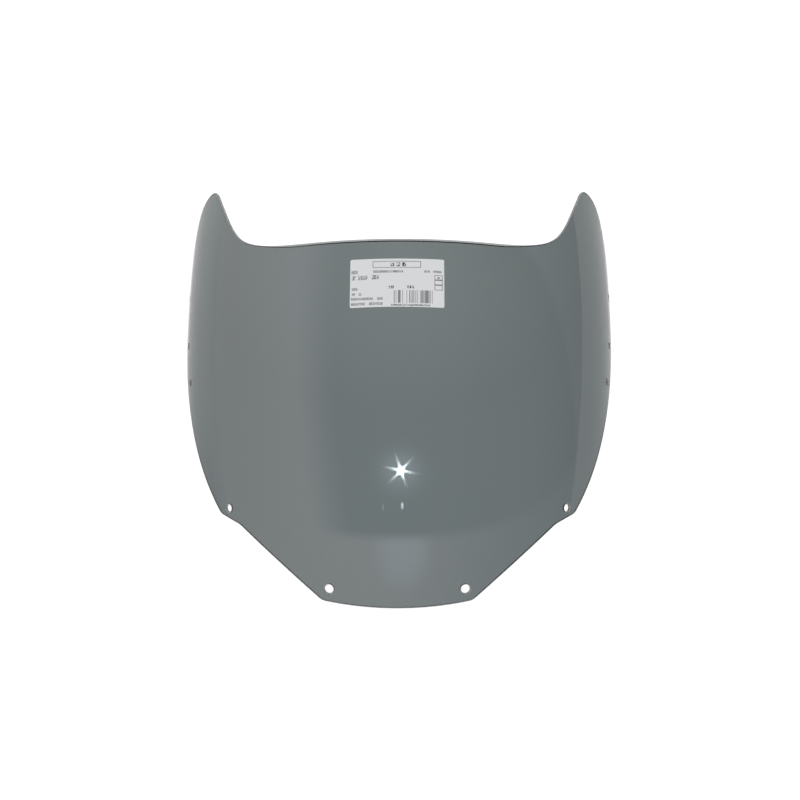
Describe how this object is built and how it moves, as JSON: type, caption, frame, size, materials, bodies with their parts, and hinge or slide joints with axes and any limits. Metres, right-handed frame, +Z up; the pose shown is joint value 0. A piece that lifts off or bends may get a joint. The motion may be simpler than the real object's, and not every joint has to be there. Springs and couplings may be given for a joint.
{
  "type": "windshield screen",
  "caption": "Bubble-shaped motorcycle windshield formed from one sheet of smoked acrylic, with swept-back upper ears, open fixing holes along its rim and a paper label",
  "frame": {"origin": "Middle of the bounding box's underside, on the flat plane that the chin and both rear corners rest on, halfway between the left and right rims", "axes": "+Z points up, square to that resting plane, which is the plane of the lower rim that seats on the fairing. -Y points at the chin, the front of the motorcycle, and +Y at the upper ears, towards the rider. +X is the motorcycle's left, which is on the right when the screen is seen from the front"},
  "size_m": [0.4378, 0.4458, 0.1287],
  "materials": {
    "smoked_acrylic": "see-through smoke grey acrylic sheet with a factory gloss on both faces and polished edges",
    "label_paper": "white uncoated label paper with black printed bars and rules"
  },
  "bodies": {
    "root": {"screen_panel": "smoked_acrylic", "product_label": "label_paper"}
  },
  "joints": []
}
